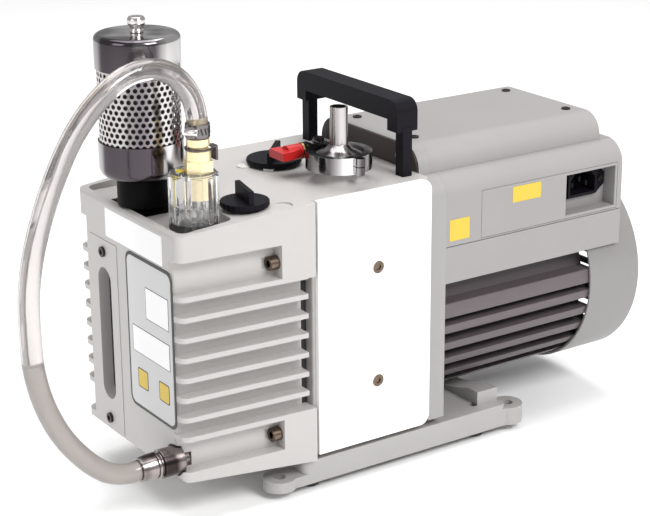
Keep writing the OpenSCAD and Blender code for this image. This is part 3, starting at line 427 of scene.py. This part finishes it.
def with_painted_reflections(name, pale, dark, rough, bands, **constants):
    """Polished metal with painted reflections: upright streaks from pale to dark in its colour stand in
    for the studio reflected in it.
    """
    made = Finish(name, Metallic=1.0, **constants)
    painted_reflection_noise = made.noise(bands, 1.0, (1.0, 1.0, 0.03))
    share = made.add("ShaderNodeValToRGB", {"stops": [(0.40, 0.0), (0.60, 1.0)]}, {"Fac": painted_reflection_noise})
    made.feed(
        Base_Color=made.mix(share, shade(dark), shade(pale)),
        Roughness=made.noise(240.0) * 0.06 + (rough - 0.03),
    )
    return made.material


# ---- Filter cup, lid and knob ----
# A stainless cup and a deep lid, pressed and polished, with a small turned knob.
# The knob screws on a rod through the filter and clamps the stack.
# The cup and lid carry painted reflections: upright pale and dark streaks in their colour.
polished = with_painted_reflections("polished stainless steel", (0.64, 0.62, 0.62), (0.075, 0.064, 0.072), 0.14, 42.0)
eased("filter_cup", "filter_cup_shell", polished, 0.0)
eased("filter_lid", "filter_lid_shell", polished, 0.0)
bright_steel = uneven(
    "bright turned steel", (0.72, 0.70, 0.69), 0.13, spread=0.05, depth=0.0, Metallic=1.0
)
eased("filter_knob", "filter_lid_knob", bright_steel, 0.0003)


def lathe(name, profile, middle, material, sides=64):
    """Turns a profile of (radius, height) once round an upright axis."""
    bm = bmesh.new()
    verts = [bm.verts.new(Vector((middle[0] + r, middle[1], z))) for r, z in profile]
    edges = [bm.edges.new(pair) for pair in zip(verts, verts[1:])]
    bmesh.ops.spin(
        bm, geom=verts + edges, cent=(middle[0], middle[1], 0.0), axis=(0.0, 0.0, 1.0),
        angle=2 * math.pi, steps=sides, use_merge=True
    )
    bmesh.ops.remove_doubles(bm, verts=bm.verts, dist=0.000005)
    bmesh.ops.recalc_face_normals(bm, faces=bm.faces)
    return finish_mesh(bm, name, material)


filter_low, filter_high = (Vector(corner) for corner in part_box("filter_cup"))
filter_mid = (filter_low + filter_high) / 2
FILTER_R = (filter_high.x - filter_low.x) / 2
BEAD = 0.0005
bead_profile = [
    (FILTER_R - BEAD + BEAD * math.cos(a), filter_high.z - BEAD + BEAD * math.sin(a))
    for a in [math.pi * 2 * k / 8 for k in range(9)]
]
cup_bead = lathe("filter_cup_rolled_rim", bead_profile, filter_mid, bright_steel, 72)
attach(cup_bead, "pump")

# ---- Filter screen ----
# A sheet of stainless steel punched all over with round holes in staggered rows.
# It is rolled into a tube and stands in the cup, round the filter element.
screen_low, screen_high = (Vector(corner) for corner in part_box("filter_screen"))
SCREEN_R = (screen_high.x - screen_low.x) / 2
SCREEN_T = 0.0009
HOLE_R = 0.0016
AROUND = 38
ROWS = 18
screen_mid = (screen_low + screen_high) / 2
bm = bmesh.new()
cell_w = 2 * math.pi * SCREEN_R / AROUND
cell_h = (screen_high.z - screen_low.z) / ROWS
for row in range(ROWS):
    for k in range(AROUND):
        mid = Vector(((k + 0.5 * (row % 2)) * cell_w, (row + 0.5) * cell_h, 0.0))
        hole = bmesh.ops.create_circle(
            bm, segments=12, radius=HOLE_R,
            matrix=Matrix.Translation(mid) @ Matrix.Rotation(math.pi / 12, 4, "Z")
        )["verts"]
        corners = [
            bm.verts.new(mid + Vector((x * cell_w / 2, y * cell_h / 2, 0.0)))
            for x, y in ((-1, -1), (0, -1), (1, -1), (1, 0), (1, 1), (0, 1), (-1, 1), (-1, 0))
        ]
        rim = [bm.edges.new((corners[i], corners[(i + 1) % 8])) for i in range(8)]
        hole_edges = list({edge for vert in hole for edge in vert.link_edges})
        bmesh.ops.bridge_loops(bm, edges=rim + hole_edges)
for vert in bm.verts:
    bend = vert.co.x / SCREEN_R
    vert.co = Vector((
        screen_mid.x + SCREEN_R * math.cos(bend), screen_mid.y + SCREEN_R * math.sin(bend),
        screen_low.z + vert.co.y
    ))
bmesh.ops.remove_doubles(bm, verts=bm.verts, dist=0.00002)
bmesh.ops.recalc_face_normals(bm, faces=bm.faces)
bmesh.ops.solidify(bm, geom=bm.faces[:], thickness=SCREEN_T)
# The screen's colour carries painted reflections in upright streaks.
screen = finish_mesh(bm, "perforated_screen", with_painted_reflections(
    "punched stainless steel", (0.68, 0.65, 0.64), (0.17, 0.15, 0.165), 0.2, 30.0))
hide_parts("filter_screen")
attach(screen, "pump")

# ---- Inlet tube and its clamp ----
# A turned steel tube with a flange, held by a chromed split clamp of two halves.
# A swing bolt with a red wing nut draws the halves together.
# The inlet tube's colour carries painted reflections in upright streaks.
turned = with_painted_reflections("turned steel", (0.50, 0.47, 0.47), (0.055, 0.045, 0.05), 0.2, 90.0)
eased("inlet_tube", "inlet_tube_turned", turned, 0.0002)
# The clamp's chrome carries painted reflections in upright streaks.
chrome = with_painted_reflections("chromed steel", (0.66, 0.65, 0.65), (0.075, 0.065, 0.07), 0.12, 48.0)
eased("clamp_ring", "inlet_clamp_halves", chrome, 0.0008)
dark_steel = uneven("dark oxidised steel", (0.055, 0.045, 0.045), 0.3, depth=0.0, Metallic=1.0)
eased("clamp_bolt", "swing_bolt_and_pin", dark_steel, 0.0003)
yellow_plating = uneven("yellow plated steel", (0.42, 0.33, 0.16), 0.3, depth=0.0, Metallic=1.0)
eased("clamp_washer", "nut_washer", yellow_plating, 0.0002)
red_plastic = uneven("glossy red plastic", (0.46, 0.016, 0.016), 0.3, depth=0.0)
eased("clamp_wing_nut", "red_wing_nut", red_plastic, 0.0012, steps=3)

# ---- Service plugs ----
# A flat plug and a raised jet plug screwed into the body's top.
# They are turned steel, painted over with the casting.
plug_grey = uneven("painted plug", (0.60, 0.585, 0.57), 0.3, depth=0.0)
eased("service_plugs", "service_plug_pair", plug_grey, 0.0003)

# ---- Separator bowl ----
# A fluted bowl of clear acrylic that catches the oil out of the mist.
# It is screwed into the box's pocket, with a yellow level stick hung in it.
# The bowl's edges take a painted shade where it is seen edge on.
clear_acrylic = clear(
    "clear acrylic", (0.95, 0.95, 0.95), (0.34, 0.33, 0.35), 0.05, IOR=1.42,
    Transmission_Weight=0.96
)
eased("separator_bowl", "fluted_bowl", clear_acrylic, 0.0004)
eased("bowl_stick", "level_stick", uneven("yellow plastic", (0.72, 0.58, 0.04), 0.4), 0.0002)

# ---- Quick coupling ----
# A brass coupling screwed into the bowl, with a thumb latch in its groove.
# Its barb stands inside the hose, which a worm-drive band holds on.
pale_brass = uneven("pale brass", (0.92, 0.78, 0.47), 0.3, depth=0.0, Metallic=0.65)
eased("brass_coupling", "quick_coupling_brass", pale_brass, 0.0004)
port_low, port_high = (Vector(corner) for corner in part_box("brass_coupling"))
port = (port_low + port_high) / 2
HOSE_END = port_high.z
BARB_GAP = 0.0003
BARB_R = HOSE_D / 2 - HOSE_WALL - BARB_GAP
barb = lathe(
    "hose_barb",
    [(0.0, HOSE_END - 0.0005), (BARB_R - 0.0006, HOSE_END - 0.0005), (BARB_R - 0.0006, HOSE_END + 0.006),
     (BARB_R, HOSE_END + 0.0065), (BARB_R - 0.0012, HOSE_END + 0.009), (BARB_R, HOSE_END + 0.0095),
     (BARB_R - 0.0014, HOSE_END + 0.013), (0.0, HOSE_END + 0.0132)],
    port, pale_brass, 32
)
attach(barb, "pump")
spring_steel = uneven("spring steel", (0.13, 0.11, 0.11), 0.28, depth=0.0, Metallic=1.0)
eased("coupling_latch", "thumb_latch", spring_steel, 0.0004)

# ---- Hose clamp ----
# A thin steel band with punched slots, drawn tight by a worm screw in a small housing.
# It grips the hose on the coupling's barb.
band_steel = uneven("clamp band steel", (0.20, 0.18, 0.18), 0.26, depth=0.0, Metallic=1.0)
eased("hose_clamp", "hose_clamp_band", band_steel, 0.0002)
band_low, band_high = (Vector(corner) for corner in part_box("hose_clamp"))
BAND_Z = (band_low.z + band_high.z) / 2
BAND_T = 0.0011
BAND_R = HOSE_D / 2 + BAND_T
SLOTS = 18
SLOT_SIZE = (0.0003, 0.0011, 0.0045)
SLOT_LEAN = math.radians(14.0)
bm = bmesh.new()
for k in range(SLOTS):
    turn = Matrix.Rotation(2 * math.pi * k / SLOTS, 4, "Z")
    place = Matrix.Translation((port.x, port.y, BAND_Z)) @ turn @ Matrix.Translation((BAND_R, 0, 0))
    lean = Matrix.Rotation(SLOT_LEAN, 4, "X")
    bmesh.ops.create_cube(bm, size=1.0, matrix=place @ lean @ Matrix.Diagonal((*SLOT_SIZE, 1.0)))
# The slots are not cut: near-black marks on the band paint the shade seen in them.
painted_slot_shade = uneven("dark slot", (0.02, 0.018, 0.018), 0.5, depth=0.0)
slots_piece = finish_mesh(bm, "hose_clamp_slots", painted_slot_shade)
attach(slots_piece, "pump")
WORM_TURN = math.radians(215.0)
WORM_R = 0.0026
WORM_LENGTH = 0.0092
WORM_EASE = 0.0004
WORM_OFF_HOSE = 0.0017
outward = Vector((math.cos(WORM_TURN), math.sin(WORM_TURN), 0.0))
sideways = Vector((-outward.y, outward.x, 0.0))
worm_at = Vector((port.x, port.y, BAND_Z)) + outward * (HOSE_D / 2 + WORM_OFF_HOSE)
bm = bmesh.new()
worm_place = Matrix.Translation(worm_at) @ sideways.to_track_quat("Z", "X").to_matrix().to_4x4()
bmesh.ops.create_cone(
    bm, cap_ends=True, segments=24, radius1=WORM_R, radius2=WORM_R, depth=WORM_LENGTH, matrix=worm_place
)
bmesh.ops.bevel(
    bm, geom=[edge for edge in bm.edges if edge.calc_face_angle(0.0) > 1.0], offset=WORM_EASE,
    offset_type="OFFSET", segments=2, profile=0.5, affect="EDGES", material=-1
)
worm = finish_mesh(bm, "hose_clamp_worm", bright_steel)
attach(worm, "pump")

# ---- Drain coupling ----
# A dark plated quick coupling screwed into the box's end face.
# Its far end is pushed into the hose.
# The coupling's colour carries painted reflections in upright streaks.
dark_nickel = with_painted_reflections("dark nickel plate", (0.34, 0.30, 0.29), (0.04, 0.03, 0.03), 0.26, 70.0)
eased("drain_coupling", "drain_quick_coupling", dark_nickel, 0.0005)

# ---- Screws ----
# Socket screws: brown plated ones in the oil box and side panels, and dark steel ones elsewhere.
# All are turned in with a hexagon key.
box_screw_steel = uneven("brown plated steel", (0.16, 0.12, 0.09), 0.3, depth=0.0, Metallic=1.0)
eased("oil_box_bolts", "oil_box_screws", box_screw_steel, 0.0005)
eased("panel_screws", "panel_socket_screws", box_screw_steel, 0.0005)
eased("sight_glass_screws", "glass_plate_screws", dark_steel, 0.0004)
eased("cover_screws", "box_top_screws", dark_steel, 0.0002)

# ---- Feet and seals ----
# Rubber feet pushed into the base, and the rubber seals between the castings.
# All are moulded in black rubber. The black oil box gasket is partly painted shade too: it stands for
# the shade in the deep gap between the box and the body.
black_rubber = uneven("black rubber", (0.02, 0.02, 0.02), 0.65)
eased("rubber_feet", "rubber_foot_set", black_rubber, 0.0004)
# The oil box gasket's black partly paints the shade in the gap between the box and the body.
for node in ("oil_box_gasket", "filler_seal", "shaft_seal", "centring_ring"):
    frame["nodes"][node].data.materials.clear()
    frame["nodes"][node].data.materials.append(black_rubber)

# ---- Sight glass ----
# A cast plate screwed to the end face, with a long slot over a thick oblong glass.
# The glass is opaque: its near-black colour is painted shade for the dark inside of the box behind it,
# where the oil stands.
eased("sight_glass_frame", "sight_glass_plate", cast_grey, 0.0006)
glass_with_painted_shade = Finish("sight glass over oil", Specular_IOR_Level=0.25)
glass_cloud = glass_with_painted_shade.noise(30.0)
glass_with_painted_shade.feed(
    Base_Color=glass_with_painted_shade.mix(glass_cloud, shade((0.018, 0.013, 0.021)), shade((0.042, 0.032, 0.048))),
    Roughness=glass_cloud * 0.08 + 0.05,
)
eased("sight_glass", "oblong_sight_glass", glass_with_painted_shade.material, 0.0003)

# ---- Printed plates ----
# Thin foils: a grey rating plate with a black border and a white strip on the end face.
# Two small yellow ones are on the terminal box. None of them carries words.
foil_grey = uneven("grey printed foil", (0.54, 0.54, 0.545), 0.35, depth=0.0)
ink_black = uneven("black print", (0.01, 0.01, 0.01), 0.4, depth=0.0)
foil_white = uneven("white foil", (0.86, 0.855, 0.86), 0.35, depth=0.0, drift=0.01)
foil_yellow = uneven("yellow foil", (0.62, 0.44, 0.04), 0.4, depth=0.0, drift=0.02)


def foil(name, facing, level, low, high, corner, material, proud=0.00012):
    """A thin round-cornered foil on a face that looks along -X or -Y, between two corners."""
    across = (low[0] + high[0]) / 2, (low[1] + high[1]) / 2
    size = high[0] - low[0], high[1] - low[1]
    if facing == "X":
        middle, scale, rim = (level, *across), (proud * 2, *size, 1.0), 0
    else:
        middle, scale, rim = (across[0], level, across[1]), (size[0], proud * 2, size[1], 1.0), 1
    bm = bmesh.new()
    bmesh.ops.create_cube(bm, size=1.0, matrix=Matrix.Translation(middle) @ Matrix.Diagonal(scale))
    edges = [
        edge for edge in bm.edges
        if abs(edge.verts[0].co[rim] - edge.verts[1].co[rim]) > proud
    ]
    bmesh.ops.bevel(
        bm, geom=edges, offset=corner, offset_type="OFFSET", segments=6, profile=0.5,
        affect="EDGES", material=-1
    )
    piece = finish_mesh(bm, name, material)
    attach(piece, "pump")
    return piece


SIDE_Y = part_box("terminal_box")[0][1]
OFF_FACE = 0.0001
door_low, door_high = (X_END + 0.279, 0.185), (X_END + 0.306, 0.197)
box_low, box_high = (X_END + 0.221, 0.166), (X_END + 0.239, 0.182)
foils = [
    foil("rating_plate_border", "X", X_END - 2 * OFF_FACE, (-0.0644, 0.0685), (0.0006, 0.1825), 0.007,
         ink_black, 0.0002),
    foil("end_strip", "X", X_END - OFF_FACE, (-0.052, 0.184), (0.029, 0.2048), 0.0008, foil_white),
    foil("door_mark", "Y", SIDE_Y - OFF_FACE, door_low, door_high, 0.0006, foil_yellow),
    foil("box_mark", "Y", SIDE_Y - OFF_FACE, box_low, box_high, 0.0006, foil_yellow),
]
for piece in foils:
    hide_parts("labels")
PLATE_X = X_END - 4 * OFF_FACE
LINE_X = PLATE_X - OFF_FACE
MARK_X = PLATE_X - 0.00016
LINE_W = 0.0005
MARK_HALF = 0.0072
MARK_LOW, MARK_HIGH = 0.0850, 0.0994
MARK_LINE = 0.0008
foil("rating_plate_field", "X", PLATE_X, (-0.0622, 0.0709), (-0.0016, 0.1801), 0.0055, foil_grey)
for name, low, high in (("rating_box_upper", (-0.0585, 0.1395), (-0.0268, 0.1625)),
                        ("rating_box_lower", (-0.0585, 0.1105), (-0.0065, 0.1300))):
    foil(name + "_line", "X", LINE_X, low, high, 0.0003, ink_black)
    inner = tuple(v + LINE_W for v in low), tuple(v - LINE_W for v in high)
    foil(name, "X", MARK_X, *inner, 0.0002, foil_white)
for name, y in (("rating_mark_left", -0.0190), ("rating_mark_right", -0.0490)):
    low, high = (y - MARK_HALF, MARK_LOW), (y + MARK_HALF, MARK_HIGH)
    inner = tuple(v + MARK_LINE for v in low), tuple(v - MARK_LINE for v in high)
    foil(name + "_line", "X", LINE_X, low, high, 0.0016, ink_black)
    foil(name, "X", MARK_X, *inner, 0.0012, foil_yellow)

# ---- Inner works ----
# Machined iron stators, ground steel rotors and shafts, and the motor's windings.
# They are hidden in the castings, so they keep their plain machined shapes.
inner_steel = uneven("ground steel", (0.45, 0.45, 0.46), 0.28, depth=0.0, Metallic=1.0)
inner_iron = uneven("machined grey iron", (0.28, 0.28, 0.29), 0.45, Metallic=0.8)
composite = uneven("vane composite", (0.25, 0.2, 0.13), 0.5)
wool = uneven("filter wool", (0.025, 0.02, 0.018), 0.9, grain=700.0, depth=0.0004)
inner_finish = {
    "turned_steel": inner_steel, "grey_iron": inner_iron, "vane_composite": composite,
    "filter_wool": wool, "steel_fasteners": inner_steel, "stainless": bright_steel
}
for node in ("base_bolts", "inlet_valve", "filter_element", "filter_rod", "stator_housings",
             "stator_plates", "exhaust_valve", "rotor", "vanes", "drive_coupling",
             "motor_bearings", "motor_stator", "motor_rotor"):
    frame["nodes"][node].data.materials.clear()
    frame["nodes"][node].data.materials.append(inner_finish[slot_names[node]])

# ---- Floor and light ----
# A pale floor under an even sky, with large soft lamps in front, at the box's end and overhead.
# The front lamp is much stronger than the end one, so the end face is greyer than the side.
FLOOR_HALF = 6.0
bm = bmesh.new()
bmesh.ops.create_grid(bm, x_segments=1, y_segments=1, size=FLOOR_HALF)
floor = finish_mesh(bm, "floor", uneven("pale floor", (0.94, 0.94, 0.94), 0.8, depth=0.0, drift=0.0))
SKY = 0.42
world = bpy.data.worlds.new("studio")
world.use_nodes = True
world.node_tree.nodes["Background"].inputs["Color"].default_value = (1.0, 1.0, 1.0, 1.0)
world.node_tree.nodes["Background"].inputs["Strength"].default_value = SKY
bpy.context.scene.world = world
bpy.context.scene.view_settings.view_transform = "Standard"


def soft_lamp(name, place, aim, size, power):
    light = bpy.data.lights.new(name, "AREA")
    light.shape = "RECTANGLE"
    light.size, light.size_y = size
    light.energy = power
    lamp = bpy.data.objects.new(name, light)
    lamp.location = place
    lamp.rotation_euler = (Vector(aim) - Vector(place)).to_track_quat("-Z", "Y").to_euler()
    bpy.context.collection.objects.link(lamp)


soft_lamp("front", (0.25, -1.9, 1.8), (0, 0, 0.15), (1.1, 0.9), 52.0)
soft_lamp("end", (-2.2, -0.3, 1.2), (0, 0, 0.15), (1.2, 1.2), 14.0)
soft_lamp("over", (0.1, 0.4, 2.6), (0, 0, 0.2), (2.2, 2.2), 60.0)
